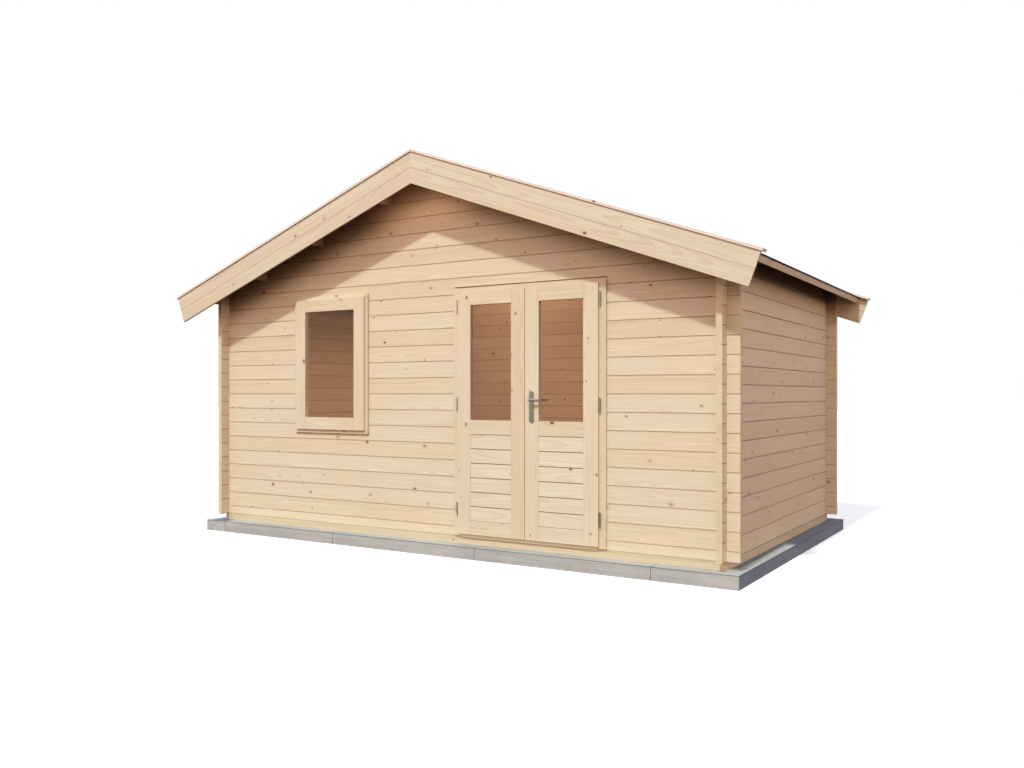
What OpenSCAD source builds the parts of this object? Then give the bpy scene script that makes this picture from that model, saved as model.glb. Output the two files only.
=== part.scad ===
// Garden log cabin with a gable front, a double door and one sash window.
// Interlocking tongue-and-groove logs stand on a timber sole and a concrete kerb.
// The origin is the centre of the plan at ground level, +X is to the right of
// somebody facing the door, the door faces -Y and +Z is up. Sizes are in mm.

/* [Cabin] */
// Outside length of the front and back walls
cabin_l = 5000; // [4700:50:6000]
// Outside length of the side walls
cabin_d = 3000; // [2400:50:4500]
// Number of whole log courses in a side wall
side_courses = 16; // [16:1:19]
// Length of the log ends beyond a corner
log_reach = 95; // [60:5:140]

/* [Logs] */
// Cover height of one log
log_h = 135; // [130:1:140]
// Thickness of a log
log_t = 45; // [40:1:60]
// Chamfer along each edge of a log
log_chamfer = 4; // [2:0.5:6]
// Width of each of the two tongues on a log
tongue_w = 7; // [5:0.5:8]
// Height of each tongue
tongue_h = 7; // [4:0.5:9]
// Distance of each tongue from the middle of the log
tongue_out = 9; // [6:0.5:11]
// Clearance between logs, and between any two fitted timbers
fit = 0.3; // [0.2:0.05:0.5]
// Extra height of the lowest log in each wall
starter_extra = 7.5; // [0:0.5:20]

/* [Base] */
// Height of the concrete kerb
kerb_h = 100; // [60:5:200]
// Width of a kerb stone
kerb_w = 250; // [200:10:350]
// Width of kerb that shows outside the walls
kerb_show = 125; // [100:5:160]
// Length of a whole kerb stone with its joint
kerb_stone = 1496; // [900:4:2000]
// Length of the cut stone that starts a long row
kerb_start = 1372; // [400:4:1490]
// Length of the cut stone that starts a short row
kerb_side_start = 752; // [400:4:890]
// Open joint between kerb stones
kerb_joint = 4; // [2:1:10]
// Height of the sole beams
sole_h = 60; // [40:5:100]
// Width of the sole beams
sole_w = 90; // [70:5:110]
// Width of a floor joist
joist_w = 45; // [38:1:70]
// Largest distance between floor joists
joist_pitch = 520; // [400:10:600]
// Thickness of the floor boards
floor_t = 19; // [16:1:28]
// Room for the floor to swell at the walls
floor_gap = 5; // [3:0.5:10]

/* [Roof] */
// Slope of the roof in degrees
pitch = 20; // [15:1:30]
// Distance from the front wall to the inner face of the barge boards
verge = 284; // [200:5:450]
// Distance along the slope from the wall's outer corner to the end of the roof boards
eave = 234; // [150:5:300]
// Thickness of the roof boards
deck_t = 19; // [16:1:28]
// Thickness of the roofing felt
felt_t = 3; // [2:0.5:6]
// Height of felt turned down over the eaves board
felt_turn = 10; // [6:1:25]
// Thickness of the barge boards
barge_t = 18; // [16:1:30]
// Width of each of the two barge boards on a slope
barge_w = 120; // [95:5:130]
// Distance along the slope from the end of the roof boards to the barge board's end
barge_past = 104; // [40:2:120]
// Gap between the upper and the lower barge board
barge_gap = 0.5; // [0.4:0.1:3]
// Thickness of the cover strip on the verge
cover_t = 18; // [12:1:25]
// Width of the cover strip on the verge
cover_w = 84; // [60:2:120]
// Distance that the cover strip stands proud of the barge board
cover_proud = 10; // [4:1:20]
// Distance along the slope from the barge board's end to the cover strip's end
cover_past = 12; // [4:1:20]
// Thickness of the eaves board
fascia_t = 18; // [15:1:25]
// Height of the eaves board
fascia_h = 56; // [45:1:120]
// Width of a purlin
purlin_w = 44; // [40:1:60]
// Depth of a purlin at its upper side
purlin_h = 148; // [120:1:160]
// Distance from the ridge to the inner face of the upper purlin
purlin_1 = 442; // [380:2:500]
// Distance from the side wall's outer face to the inner face of the middle purlin
purlin_2 = 1278; // [1200:2:1350]
// Distance from the side wall's outer face to the inner face of the lower purlin
purlin_3 = 560; // [500:2:620]

/* [Frames] */
// Distance that frames stand proud of the wall
frame_proud = 19; // [12:1:30]
// Thickness of a door leaf or sash in front of its frame
leaf_proud = 19; // [17:1:30]
// Thickness of a door leaf or sash behind the front face of its frame
leaf_depth = 21; // [16:1:30]
// Distance that a leaf or sash overlaps its frame
leaf_lap = 15; // [12:1:18]
// Clearance round the door leaves
leaf_gap = 5; // [5:0.5:8]
// Clearance of the sash in its frame
sash_gap = 1.5; // [1:0.5:4]
// Width of the stiles of the doors
stile_w = 123; // [100:1:140]
// Thickness of the glass
glass_t = 5; // [4:0.5:8]
// Distance that the glass lies behind the face of the stiles
glass_back = 6; // [5:0.5:12]
// Depth of the grooves for glass and boards
rebate = 10; // [6:1:14]

/* [Door] */
// Distance of the door's centre from the cabin's centre
door_x = 908; // [700:1:1100]
// Width over the door frame
door_w = 1372; // [1300:2:1600]
// Height of the door frame's top above the sole
door_h = 2014; // [1900:1:2250]
// Height of the door frame's bottom above the sole
door_lift = 9; // [5:1:12]
// Face width of the door jambs
jamb_face = 71; // [60:1:80]
// Distance that the jambs lap over the log ends
jamb_lap = 26; // [15:1:30]
// Face width of the door frame's head
head_face = 49; // [38:1:60]
// Room above the door frame for the logs to settle
head_gap = 12; // [8:1:20]
// Height of the threshold
threshold_h = 20; // [14:1:20]
// Height of a leaf's bottom edge above the sole
leaf_lift = 25; // [25:1:32]
// Height of the bottom rail
bottom_rail = 111; // [100:1:150]
// Height of the middle rail
mid_rail = 116; // [100:1:140]
// Height of the top rail
top_rail = 110; // [90:1:150]
// Height of the boarded panel
panel_h = 694; // [600:2:760]
// Number of boards in the panel
panel_boards = 6; // [4:1:8]
// Thickness of the panel boards
panel_t = 16; // [12:1:18]
// Distance that the panel lies behind the face of the stiles
panel_back = 1.5; // [1:0.5:6]
// Chamfer along each edge of a panel board
panel_chamfer = 4; // [2:0.5:4]
// Width of the tongue on a panel board
panel_tongue_w = 4; // [3:0.5:5]
// Height of the tongue on a panel board
panel_tongue_h = 6; // [4:0.5:8]
// Distance that the back of a leaf stands in from its meeting edge
meeting_back = 3; // [2:0.5:6]

/* [Window] */
// Distance of the window's centre from the cabin's centre
window_x = 1123; // [1000:1:1300]
// Width over the window frame
window_w = 866; // [700:1:1000]
// Height of the window frame's bottom above the ground
window_z = 967; // [900:1:1010]
// Height over the window frame
window_h = 1225; // [1100:1:1275]
// Width of frame that shows round the sash
window_show = 30; // [20:1:40]
// Distance that the window frame laps over the logs
window_lap = 14; // [8:1:20]
// Width of the sash's stiles
sash_stile = 115; // [100:1:140]
// Height of the sash's bottom rail
sash_bottom = 109; // [95:1:140]
// Height of the sash's top rail
sash_top = 106; // [95:1:140]

/* [Hardware] */
// Length of a hinge barrel
hinge_l = 108; // [80:2:140]
// Diameter of a hinge barrel
hinge_d = 14; // [12:1:15]
// Diameter of the hinge pin
hinge_pin_d = 8; // [5:0.5:8]
// Thickness of a hinge barrel above the end of its bore
hinge_cap = 6; // [4:0.5:12]
// Distance of the pin's end from the end of its bore
pin_end_gap = 2; // [1:0.5:4]
// Diameter of the screwed pegs that hold the hinges
peg_d = 7; // [5:0.5:8]
// Length of a peg inside the leaf
peg_l = 40; // [25:1:55]
// Distance from a leaf's edge to the hinge pin
hinge_out = 10; // [9:0.5:12]
// Distance of the upper hinge below the leaf's top
hinge_top = 117; // [100:1:200]
// Distance of the lower hinge above the leaf's bottom
hinge_low = 200; // [150:1:260]
// Height of the middle hinge above the leaf's bottom
hinge_mid = 1048; // [900:1:1200]
// Width of the handle plates
plate_w = 40; // [34:1:46]
// Length of the handle plates
plate_l = 242; // [200:2:260]
// Thickness of the handle plates
plate_t = 8; // [5:0.5:10]
// Height of the handle plates' centre above the leaf's bottom
plate_z = 1031; // [950:1:1100]
// Height of the lever's axle above the plates' centre
axle_up = 52; // [30:1:60]
// Diameter of the lever's axle
axle_d = 16; // [12:1:18]
// Clearance of the axle in the stile
axle_gap = 1; // [0.5:0.5:2]
// Length of the lever from its axle to its tip
lever_l = 92; // [84:2:130]
// Height of the lever's section
lever_w = 20; // [18:1:24]
// Thickness of the lever's section
lever_t = 13; // [10:1:16]
// Distance from the plate to the lever's outer face
lever_out = 42; // [35:1:50]

/* [Hidden] */
pine = [0.91, 0.83, 0.70];
treated = [0.90, 0.83, 0.65];
concrete = [0.72, 0.71, 0.70];
felt_black = [0.10, 0.10, 0.10];
steel_grey = [0.57, 0.55, 0.52];
handle_grey = [0.45, 0.42, 0.38];
glass_tint = [0.70, 0.78, 0.80, 0.4];
over = 1;
foot_z = kerb_h + sole_h;
half_l = cabin_l / 2;
half_d = cabin_d / 2;
quarter_log = log_h / 4;
front_start = log_h / 2 + starter_extra;
side_start = log_h + starter_extra;
eave_z = foot_z + side_start + log_h * (side_courses - 1);
ridge_z = roof_z(0);
gable_first = side_courses - 1;
least_log = log_h / 3;
gable_last = floor((ridge_z - front_z(0) - least_log) / log_h) - 1;
front_wall_y = -half_d + log_t / 2;
side_wall_x = half_l - log_t / 2;
in_x = half_l - log_t;
in_y = half_d - log_t;
deck_end = half_l / cos(pitch) + eave;
roof_t = deck_t + felt_t;
barge_y = half_d + verge;
cover_y = barge_y + barge_t + cover_proud;
purlin_list = [purlin_1, half_l - purlin_2, half_l - purlin_3];
door_x0 = door_x - door_w / 2;
door_x1 = door_x + door_w / 2;
door_top = foot_z + door_h;
leaf_z0 = foot_z + leaf_lift;
leaf_z1 = door_top - head_face + leaf_lap;
leaf_w = door_w / 2 - jamb_face + leaf_lap - leaf_gap / 2;
panel_z0 = leaf_z0 + bottom_rail;
panel_z1 = panel_z0 + panel_h;
pane_z0 = panel_z1 + mid_rail;
pane_z1 = leaf_z1 - top_rail;
window_x0 = -window_x - window_w / 2;
window_x1 = -window_x + window_w / 2;
window_top = window_z + window_h;
sash_x0 = window_x0 + window_show;
sash_x1 = window_x1 - window_show;
sash_z0 = window_z + window_show;
sash_z1 = window_top - window_show;
window_face = window_show + leaf_lap;
head_z = door_top + head_gap;
lintel_first = floor((head_z - front_z(0)) / log_h);
wall_face = -half_d;
frame_face = wall_face - frame_proud;
leaf_face = frame_face - leaf_proud;
leaf_back = frame_face + leaf_depth;
hinge_y = leaf_face + hinge_d / 2;
axle_z = leaf_z0 + plate_z + axle_up;
axle_x = door_x + leaf_gap / 2 + stile_w / 2;
kerb_x = half_l + kerb_show;
kerb_y = half_d + kerb_show;
glass_y = leaf_face + glass_back + glass_t / 2;
panel_y = leaf_face + panel_back + panel_t / 2;
panel_lip = panel_t - 2 * panel_chamfer;
leaf_x0 = -leaf_w - leaf_gap / 2;
leaf_x1 = -leaf_gap / 2;
hinge_x = leaf_x0 - hinge_out;
hinge_heights = [leaf_z0 + hinge_low, leaf_z0 + hinge_mid, leaf_z1 - hinge_top];
pin_fit = 0.08;
knuckle_gap = 0.5;

// Height of the joint under front or back course n
function front_z(n) = n < 0 ? foot_z : foot_z + front_start + log_h * n;

// Height of the joint under side course n
function side_z(n) = n <= 0 ? foot_z : foot_z + side_start + log_h * (n - 1);

// Height of the underside of the roof boards at distance x from the ridge
function roof_z(x) = eave_z + (half_l - abs(x)) * tan(pitch);

// Box between two corners
module block(low, high) {
    translate(low) cube(high - low);
}

// Section of a board with chamfered edges, tongues on top and grooves below
module board_section(t, h, chamfer, tw, th, offsets, groove = true, tongue = true) {
    difference() {
        union() {
            polygon([[-t / 2, chamfer], [-t / 2 + chamfer, 0], [t / 2 - chamfer, 0],
                [t / 2, chamfer], [t / 2, h - chamfer], [t / 2 - chamfer, h],
                [-t / 2 + chamfer, h], [-t / 2, h - chamfer]]);
            if (tongue)
                for (o = offsets)
                    translate([o - tw / 2, h - over]) square([tw, th + over - fit]);
        }
        if (groove)
            for (o = offsets)
                translate([o - tw / 2 - fit, -over]) square([tw + 2 * fit, th + over + fit]);
    }
}

// Log along X from x0 to x1, centred on y = 0
module log_x(x0, x1, z0, z1, groove = true, tongue = true) {
    translate([x0, 0, z0]) rotate([90, 0, 90]) linear_extrude(x1 - x0)
        board_section(log_t, z1 - z0 - fit, log_chamfer, tongue_w, tongue_h,
            [-tongue_out, tongue_out], groove, tongue);
}

// Saddle notch cut from low to high where a crossing log passes at x
module notch(x, low, high) {
    block([x - log_t / 2 - fit, -log_t, low], [x + log_t / 2 + fit, log_t, high]);
}

// Log with saddle notches at both corners, half the log high where it crosses.
// A last log rises above its joint height z1, and low deepens the lower notches.
module notched_log(x, reach_x, z0, z1, first = false, rise = 0, low = 0) {
    difference() {
        log_x(-reach_x, reach_x, z0, z1 + rise, !first, rise == 0);
        for (s = [-1, 1]) {
            if (!first) notch(s * x, z0 - over, z0 + quarter_log + fit / 2);
            if (low > 0) notch(s * x, z0 - over, low + fit / 2);
            notch(s * x, z1 - quarter_log - fit / 2, z1 + log_h);
        }
    }
}

// Space just under the roof boards, used to cut logs to the slope
module under_roof() {
    far_x = half_l + 2 * log_reach;
    far_y = cabin_d;
    translate([0, far_y, 0]) rotate([90, 0, 0]) linear_extrude(2 * far_y)
        polygon([[-far_x, 0], [far_x, 0], [far_x, roof_z(far_x) - fit],
            [0, ridge_z - fit], [-far_x, roof_z(far_x) - fit]]);
}

// Slots for the purlins where they pass through a gable
module purlin_slots() {
    block([-purlin_w / 2 - fit, -log_t, ridge_z - purlin_h - fit],
        [purlin_w / 2 + fit, log_t, ridge_z + over]);
    for (s = [0, 1]) mirror([s, 0, 0])
        for (p = purlin_list)
            block([p - fit, -log_t, roof_z(p) - purlin_h - fit],
                [p + purlin_w + fit, log_t, roof_z(p) + over]);
}

// One course of a front or back wall: n = -1 is the starter log
module front_course(n) {
    reach_x = half_l + log_reach;
    top_z = n == gable_last ? ridge_z : front_z(n + 1);
    if (n < gable_first)
        notched_log(side_wall_x, reach_x, front_z(n), top_z, n < 0);
    else
        intersection() {
            difference() {
                log_x(-reach_x, reach_x, front_z(n), top_z, true, n < gable_last);
                if (n == gable_first)
                    for (s = [-1, 1])
                        notch(s * side_wall_x, front_z(n) - over,
                            front_z(n) + quarter_log + fit / 2);
                purlin_slots();
            }
            under_roof();
        }
}

// Openings in the front wall for the door frame, as wide as the frame in the
// log above it, and for the window frame
module front_openings() {
    block([door_x0 + jamb_lap - fit, -log_t, foot_z - over],
        [door_x1 - jamb_lap + fit, log_t, head_z]);
    block([door_x0 - fit, -log_t, front_z(lintel_first) - over],
        [door_x1 + fit, log_t, head_z]);
    block([window_x0 + window_lap - fit, -log_t, window_z + window_lap - fit],
        [window_x1 - window_lap + fit, log_t, window_top - window_lap + fit]);
}

// Part of the front wall between x0 and x1, courses n0 to n1
module front_part(n0, n1, x0, x1) {
    translate([0, front_wall_y, 0]) intersection() {
        difference() {
            for (n = [n0:n1]) front_course(n);
            front_openings();
        }
        block([x0, -log_t, 0], [x1, log_t, ridge_z]);
    }
}

module front_wall_left() {
    color(pine) front_part(-1, lintel_first - 1, -cabin_l, door_x);
}

module front_wall_right() {
    color(pine) front_part(-1, lintel_first - 1, door_x, cabin_l);
}

module lintel_log() {
    color(pine) front_part(lintel_first, lintel_first, -cabin_l, cabin_l);
}

module front_gable() {
    color(pine) front_part(lintel_first + 1, gable_last, -cabin_l, cabin_l);
}

module back_wall() {
    color(pine) translate([0, -front_wall_y, 0]) for (n = [-1:gable_first - 1]) front_course(n);
}

module back_gable() {
    color(pine) translate([0, -front_wall_y, 0])
        for (n = [gable_first:gable_last]) front_course(n);
}

// Side wall on the left, with its top log bevelled to the roof
module side_wall() {
    reach_y = half_d + log_reach;
    bevel_rise = log_t * tan(pitch) + fit;
    intersection() {
        translate([-side_wall_x, 0, 0]) rotate([0, 0, 90])
            for (n = [0:side_courses - 1])
                notched_log(half_d - log_t / 2, reach_y, side_z(n), side_z(n + 1), n == 0,
                    n == side_courses - 1 ? bevel_rise : 0,
                    n == 0 ? foot_z + front_start - quarter_log : 0);
        under_roof();
    }
}

module left_wall() {
    color(pine) side_wall();
}

module right_wall() {
    color(pine) mirror([1, 0, 0]) side_wall();
}

// Row of kerb stones from x0 to x1, outer face on y = 0, first stone of its own length
module kerb_row(x0, x1, first) {
    starts = [x0, for (x = [x0 + first:kerb_stone:x1 - kerb_joint]) x];
    for (i = [0:len(starts) - 1]) {
        stop = i < len(starts) - 1 ? starts[i + 1] - kerb_joint : x1;
        block([starts[i], 0, 0], [stop, kerb_w, kerb_h]);
    }
}

module kerb_front() {
    color(concrete) translate([0, -kerb_y, 0])
        kerb_row(-kerb_x + kerb_w + kerb_joint, kerb_x, kerb_start);
}

module kerb_back() {
    color(concrete) rotate([0, 0, 180]) translate([0, -kerb_y, 0])
        kerb_row(-kerb_x + kerb_w + kerb_joint, kerb_x, kerb_start);
}

module kerb_right() {
    color(concrete) rotate([0, 0, 90]) translate([0, -kerb_x, 0])
        kerb_row(-kerb_y + kerb_w + kerb_joint, kerb_y, kerb_side_start);
}

module kerb_left() {
    color(concrete) rotate([0, 0, -90]) translate([0, -kerb_x, 0])
        kerb_row(-kerb_y + kerb_w + kerb_joint, kerb_y, kerb_side_start);
}

// Sole beams flush with the walls' outer faces, the side ones from front to back
module sole_beams() {
    color(treated) {
        for (s = [0, 1]) mirror([s, 0, 0])
            block([half_l - sole_w, -half_d, kerb_h], [half_l, half_d, foot_z - fit]);
        for (s = [0, 1]) mirror([0, s, 0])
            block([-half_l + sole_w + fit, -half_d, kerb_h],
                [half_l - sole_w - fit, -half_d + sole_w, foot_z - fit]);
    }
}

// Joists between the front and back sole beams, resting on the kerb
module floor_joists() {
    span = cabin_l - 2 * sole_w - joist_w;
    bays = ceil(span / joist_pitch);
    reach_y = half_d - sole_w - fit;
    color(treated) for (i = [1:bays - 1]) {
        x = -span / 2 + i * span / bays;
        block([x - joist_w / 2, -reach_y, kerb_h], [x + joist_w / 2, reach_y, foot_z - fit]);
    }
}

// Floor with room to swell, notched round the door frame
module floor_boards() {
    inner_y = wall_face + log_t + frame_proud + fit;
    color(pine) difference() {
        block([-in_x + floor_gap, -in_y + floor_gap, foot_z],
            [in_x - floor_gap, in_y - floor_gap, foot_z + floor_t]);
        block([door_x0 - fit, -in_y - over, foot_z - over],
            [door_x1 + fit, inner_y, foot_z + floor_t + over]);
    }
}

// Purlin section from its inner face p, with its top bevelled to the slope
module purlin_section(p) {
    bottom = roof_z(p) - purlin_h;
    polygon([[p, bottom], [p + purlin_w, bottom],
        [p + purlin_w, roof_z(p + purlin_w) - fit], [p, roof_z(p) - fit]]);
}

module along_y(reach) {
    translate([0, reach, 0]) rotate([90, 0, 0]) linear_extrude(2 * reach) children();
}

module ridge_purlin() {
    half_w = purlin_w / 2;
    color(pine) along_y(barge_y - fit)
        polygon([[-half_w, ridge_z - purlin_h], [half_w, ridge_z - purlin_h],
            [half_w, roof_z(half_w) - fit], [0, ridge_z - fit], [-half_w, roof_z(half_w) - fit]]);
}

module right_purlins() {
    color(pine) along_y(barge_y - fit) for (p = purlin_list) purlin_section(p);
}

module left_purlins() {
    color(pine) mirror([1, 0, 0]) along_y(barge_y - fit) for (p = purlin_list) purlin_section(p);
}

// Slab on the right slope between heights w0 and w1 over the underside of the roof
// boards, from the ridge to u1 down the slope, between y0 and y1
module slope_slab(w0, w1, u1, y0, y1) {
    at_ridge = fit / 2;
    translate([0, y1, ridge_z]) rotate([90, 0, 0]) rotate([0, 0, -pitch]) linear_extrude(y1 - y0)
        polygon([[at_ridge - w0 * tan(pitch), w0], [at_ridge - w1 * tan(pitch), w1],
            [u1, w1], [u1, w0]]);
}

module right_slope_boards() {
    slope_slab(0, deck_t, deck_end, -barge_y + fit, barge_y - fit);
}

module right_roof_boards() {
    color(pine) right_slope_boards();
}

module left_roof_boards() {
    color(pine) mirror([1, 0, 0]) right_slope_boards();
}

// Felt on the right slope, turned down over the eaves board
module right_slope_felt() {
    reach = deck_end + fascia_t + fit;
    slope_slab(deck_t, roof_t, reach + felt_t, -barge_y + fit, barge_y - fit);
    translate([0, 0, ridge_z]) rotate([0, pitch, 0])
        block([reach, -barge_y + fit, deck_t - felt_turn], [reach + felt_t, barge_y - fit, roof_t]);
}

module right_roof_felt() {
    color(felt_black) right_slope_felt();
}

module left_roof_felt() {
    color(felt_black) mirror([1, 0, 0]) right_slope_felt();
}

// Two barge boards on each slope of one verge, the lower one under the upper one
module barge_pair() {
    y1 = -barge_y;
    y0 = y1 - barge_t;
    for (s = [0, 1]) mirror([s, 0, 0]) {
        slope_slab(roof_t - barge_w, roof_t, deck_end + barge_past, y0, y1);
        slope_slab(roof_t - 2 * barge_w - barge_gap, roof_t - barge_w - barge_gap,
            deck_end + barge_past, y0, y1);
    }
}

module front_barge_boards() {
    color(pine) barge_pair();
}

module back_barge_boards() {
    color(pine) mirror([0, 1, 0]) barge_pair();
}

// Cover strips on the roof edge of one verge, ending just past the barge boards
module verge_cover() {
    for (s = [0, 1]) mirror([s, 0, 0])
        slope_slab(roof_t, roof_t + cover_t, deck_end + barge_past + cover_past,
            -cover_y, -cover_y + cover_w);
}

module front_verge_cover() {
    color(pine) verge_cover();
}

module back_verge_cover() {
    color(pine) mirror([0, 1, 0]) verge_cover();
}

// Eaves board on the end of the roof boards
module eaves_board() {
    translate([0, 0, ridge_z]) rotate([0, pitch, 0])
        block([deck_end + fit, -barge_y + fit, deck_t - fascia_h],
            [deck_end + fascia_t, barge_y - fit, deck_t]);
}

module right_eaves_board() {
    color(pine) eaves_board();
}

module left_eaves_board() {
    color(pine) mirror([1, 0, 0]) eaves_board();
}

// Frame that grips the log ends: x and z limits, face widths and laps
// of its sides, bottom and top; a bottom face of 0 leaves it open below
module grip_frame(x0, x1, z0, z1, side, bottom, top, lap, top_lap) {
    y0 = frame_face;
    y1 = wall_face + log_t + frame_proud;
    open_z = bottom > 0 ? z0 + bottom : z0 - over;
    grip_z = bottom > 0 ? z0 + lap : z0 - 2 * over;
    difference() {
        block([x0, y0, z0], [x1, y1, z1]);
        block([x0 + side, y0 - over, open_z], [x1 - side, y1 + over, z1 - top]);
        difference() {
            block([x0 - over, wall_face - fit, z0 - over],
                [x1 + over, wall_face + log_t + fit, z1 + over]);
            block([x0 + lap, y0, grip_z], [x1 - lap, y1, z1 - top_lap]);
        }
    }
}

module door_frame() {
    color(pine) grip_frame(door_x0, door_x1, foot_z + door_lift, door_top,
        jamb_face, 0, head_face, jamb_lap, 0);
}

// Threshold that carries the jambs and stands higher between them
module door_threshold() {
    color(pine) {
        block([door_x0 + jamb_lap, wall_face, foot_z],
            [door_x1 - jamb_lap, wall_face + log_t, foot_z + door_lift]);
        block([door_x0 + jamb_face + fit, frame_face, foot_z],
            [door_x1 - jamb_face - fit, wall_face + log_t + frame_proud, foot_z + threshold_h]);
    }
}

module window_frame() {
    color(pine) grip_frame(window_x0, window_x1, window_z, window_top,
        window_face, window_face, window_face, window_lap, window_lap);
}

// Groove in the edge of a rectangular opening, width t and centred on y
module edge_groove(x0, x1, z0, z1, y, t) {
    block([x0 - rebate, y - t / 2 - fit, z0 - rebate], [x1 + rebate, y + t / 2 + fit, z1 + rebate]);
}

module window_sash() {
    pane_x0 = sash_x0 + sash_stile;
    pane_x1 = sash_x1 - sash_stile;
    inner = leaf_lap + sash_gap;
    color(pine) difference() {
        union() {
            block([sash_x0, leaf_face, sash_z0], [sash_x1, frame_face, sash_z1]);
            block([sash_x0 + inner, frame_face - over, sash_z0 + inner],
                [sash_x1 - inner, leaf_back, sash_z1 - inner]);
        }
        block([pane_x0, leaf_face - over, sash_z0 + sash_bottom],
            [pane_x1, leaf_back + over, sash_z1 - sash_top]);
        edge_groove(pane_x0, pane_x1, sash_z0 + sash_bottom, sash_z1 - sash_top, glass_y, glass_t);
    }
}

// Pane set in the grooves of an opening
module pane(x0, x1, z0, z1) {
    grip = rebate - fit;
    block([x0 - grip, glass_y - glass_t / 2, z0 - grip], [x1 + grip, glass_y + glass_t / 2, z1 + grip]);
}

module window_glass() {
    color(glass_tint) pane(sash_x0 + sash_stile, sash_x1 - sash_stile,
        sash_z0 + sash_bottom, sash_z1 - sash_top);
}

// Opening for the panel boards, with a chamfer on the edge of each rail
module panel_opening(x0, x1) {
    past = panel_chamfer + over;
    translate([x0, leaf_face, 0]) rotate([90, 0, 90]) linear_extrude(x1 - x0)
        polygon([[-over, panel_z0 - past], [panel_chamfer, panel_z0],
            [leaf_back - leaf_face + over, panel_z0], [leaf_back - leaf_face + over, panel_z1],
            [panel_chamfer, panel_z1], [-over, panel_z1 + past]]);
}

// Frame of a door leaf, drawn as the left leaf with the meeting line on x = 0
module leaf_frame() {
    lip_back = frame_face - leaf_gap;
    inner = leaf_lap + leaf_gap;
    open_x0 = leaf_x0 + stile_w;
    open_x1 = leaf_x1 - stile_w;
    difference() {
        union() {
            block([leaf_x0, leaf_face, leaf_z0], [leaf_x1, lip_back, leaf_z1]);
            block([leaf_x0 + inner, lip_back - over, leaf_z0],
                [leaf_x1 - meeting_back, leaf_back, leaf_z1 - inner]);
        }
        block([open_x0, leaf_face - over, pane_z0], [open_x1, leaf_back + over, pane_z1]);
        panel_opening(open_x0, open_x1);
        edge_groove(open_x0, open_x1, pane_z0, pane_z1, glass_y, glass_t);
        edge_groove(open_x0, open_x1, panel_z0, panel_z1, panel_y, panel_lip);
        for (z = hinge_heights) leaf_peg(z, peg_d + 2 * fit, over);
    }
}

// Horizontal boards of the lower panel, with thin edges in the grooves of the leaf frame
module leaf_boards() {
    open_x0 = leaf_x0 + stile_w;
    open_x1 = leaf_x1 - stile_w;
    board_h = panel_h / panel_boards;
    grip = rebate - fit;
    half_lip = panel_lip / 2;
    for (i = [0:panel_boards - 1]) {
        z0 = panel_z0 + i * board_h + fit / 2;
        z1 = z0 + board_h - fit;
        intersection() {
            union() {
                translate([open_x0 - grip, panel_y, z0]) rotate([90, 0, 90])
                    linear_extrude(open_x1 - open_x0 + 2 * grip)
                        board_section(panel_t, z1 - z0, panel_chamfer, panel_tongue_w,
                            panel_tongue_h, [0], i > 0, i < panel_boards - 1);
                if (i == 0)
                    block([open_x0 - grip, panel_y - half_lip, panel_z0 - grip],
                        [open_x1 + grip, panel_y + half_lip, z0 + over]);
                if (i == panel_boards - 1)
                    block([open_x0 - grip, panel_y - half_lip, z1 - over],
                        [open_x1 + grip, panel_y + half_lip, panel_z1 + grip]);
            }
            union() {
                block([open_x0 - grip, panel_y - half_lip, leaf_z0],
                    [open_x1 + grip, panel_y + half_lip, pane_z0]);
                block([open_x0 + fit, panel_y - panel_t, leaf_z0],
                    [open_x1 - fit, panel_y + panel_t, pane_z0]);
            }
        }
    }
}

module leaf_pane() {
    pane(leaf_x0 + stile_w, leaf_x1 - stile_w, pane_z0, pane_z1);
}

// Peg from a hinge barrel into the edge of the leaf
module leaf_peg(z, d, extra) {
    translate([hinge_x, hinge_y, z + hinge_l / 4]) rotate([0, 90, 0])
        cylinder(d = d, h = hinge_out + peg_l + extra, $fn = 32);
}

// Upper hinge halves on the leaf, each with a blind bore for its pin
module leaf_knuckles() {
    for (z = hinge_heights) {
        difference() {
            union() {
                translate([hinge_x, hinge_y, z + knuckle_gap / 2])
                    cylinder(d = hinge_d, h = hinge_l / 2 - knuckle_gap / 2, $fn = 32);
                leaf_peg(z, peg_d, 0);
            }
            translate([hinge_x, hinge_y, z - over])
                cylinder(d = hinge_pin_d + 2 * pin_fit, h = hinge_l / 2 - hinge_cap + over, $fn = 32);
        }
    }
}

// Lower hinge halves on the jamb, each with the pin on top and a peg into the jamb
module frame_knuckles() {
    for (z = hinge_heights) {
        translate([hinge_x, hinge_y, z - hinge_l / 2])
            cylinder(d = hinge_d, h = hinge_l / 2 - knuckle_gap / 2, $fn = 32);
        translate([hinge_x, hinge_y, z - hinge_l / 2])
            cylinder(d = hinge_pin_d, h = hinge_l - hinge_cap - pin_end_gap, $fn = 32);
        translate([hinge_x, hinge_y, z - hinge_l / 4]) rotate([-90, 0, 0])
            cylinder(d = peg_d, h = frame_face - hinge_y, $fn = 32);
    }
}

module place_left() {
    translate([door_x, 0, 0]) children();
}

module place_right() {
    translate([door_x, 0, 0]) mirror([1, 0, 0]) children();
}

module left_door_frame() {
    color(pine) place_left() leaf_frame();
}

module left_door_boards() {
    color(pine) place_left() leaf_boards();
}

module left_door_glass() {
    color(glass_tint) place_left() leaf_pane();
}

// The right leaf has a bore for the handle's axle
module right_door_frame() {
    color(pine) difference() {
        place_right() leaf_frame();
        translate([axle_x, leaf_face - over, axle_z]) rotate([-90, 0, 0])
            cylinder(d = axle_d + 2 * axle_gap, h = leaf_back - leaf_face + 2 * over, $fn = 32);
    }
}

module right_door_boards() {
    color(pine) place_right() leaf_boards();
}

module right_door_glass() {
    color(glass_tint) place_right() leaf_pane();
}

module left_hinge_halves() {
    color(steel_grey) place_left() leaf_knuckles();
}

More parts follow.
